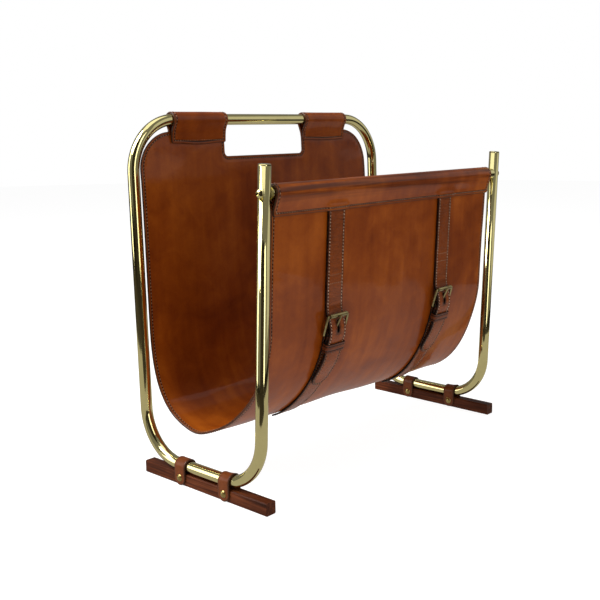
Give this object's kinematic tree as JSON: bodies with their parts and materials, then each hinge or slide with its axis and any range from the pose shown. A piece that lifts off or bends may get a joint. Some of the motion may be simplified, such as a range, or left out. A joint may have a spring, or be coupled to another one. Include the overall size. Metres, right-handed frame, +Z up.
{
  "type": "magazine rack",
  "caption": "Free-standing magazine rack: bent brass tube frame on wooden feet with a stitched leather sling, hand hole and two buckled straps.",
  "frame": {"origin": "centre of the rack's footprint box, on the surface that it stands on", "axes": "+X along the top rail to the right seen from the open front, +Y from the low front to the tall back, +Z up"},
  "size_m": [0.4248, 0.2181, 0.3942],
  "materials": {
    "polished_brass": "polished, lightly lacquered",
    "insert_steel": "plain turned steel",
    "sling_leather": "glazed vegetable-tanned hide, semi-gloss",
    "lining_leather": "glazed hide, satin",
    "strap_leather": "glazed hide with stitched edges, semi-gloss",
    "loop_leather": "smooth hide, satin",
    "antique_brass": "antique brass, darkened in the recesses",
    "rivet_brass": "polished, slightly aged",
    "foot_wood": "dark stained hardwood, satin"
  },
  "bodies": {
    "rack": {"frame_tube": "polished_brass", "end_plug_left": "polished_brass", "end_plug_right": "polished_brass", "crossbar": "polished_brass", "crossbar_inserts": "insert_steel", "crossbar_screw_left": "polished_brass", "crossbar_screw_right": "polished_brass", "sling_outer_skin": "sling_leather", "sling_inner_skin": "lining_leather", "billet_strap_left": "strap_leather", "billet_strap_right": "strap_leather", "buckle_strap_left": "strap_leather", "buckle_strap_right": "strap_leather", "keeper_left": "strap_leather", "keeper_right": "strap_leather", "foot_left": "foot_wood", "foot_right": "foot_wood", "foot_loop_left_front": "loop_leather", "foot_loop_left_back": "loop_leather", "foot_loop_right_front": "loop_leather", "foot_loop_right_back": "loop_leather", "rivet_posts_left": "rivet_brass", "rivet_posts_right": "rivet_brass", "rivet_caps_left": "rivet_brass", "rivet_caps_right": "rivet_brass"},
    "buckle_left": {"buckle_frame_left": "antique_brass"},
    "roller_left": {"buckle_roller_left": "antique_brass"},
    "prong_left": {"buckle_prong_left": "antique_brass"},
    "buckle_right": {"buckle_frame_right": "antique_brass"},
    "roller_right": {"buckle_roller_right": "antique_brass"},
    "prong_right": {"buckle_prong_right": "antique_brass"}
  },
  "joints": [
    {"name": "buckle_left_tilt", "type": "hinge", "parent": "rack", "child": "buckle_left", "pos_m": [-0.1015, -0.09514, 0.16337], "axis": [1, 0, 0], "range_deg": [0, 8]},
    {"name": "roller_left_spin", "type": "hinge", "parent": "buckle_left", "child": "roller_left", "pos_m": [-0.1015, -0.10154, 0.18362], "axis": [1, 0, 0], "continuous": true},
    {"name": "prong_left_lift", "type": "hinge", "parent": "buckle_left", "child": "prong_left", "pos_m": [-0.1015, -0.09514, 0.16337], "axis": [1, 0, 0], "range_deg": [0, 10]},
    {"name": "buckle_right_tilt", "type": "hinge", "parent": "rack", "child": "buckle_right", "pos_m": [0.0915, -0.09514, 0.16337], "axis": [1, 0, 0], "range_deg": [0, 8]},
    {"name": "roller_right_spin", "type": "hinge", "parent": "buckle_right", "child": "roller_right", "pos_m": [0.0915, -0.10154, 0.18362], "axis": [1, 0, 0], "continuous": true},
    {"name": "prong_right_lift", "type": "hinge", "parent": "buckle_right", "child": "prong_right", "pos_m": [0.0915, -0.09514, 0.16337], "axis": [1, 0, 0], "range_deg": [0, 10]}
  ]
}
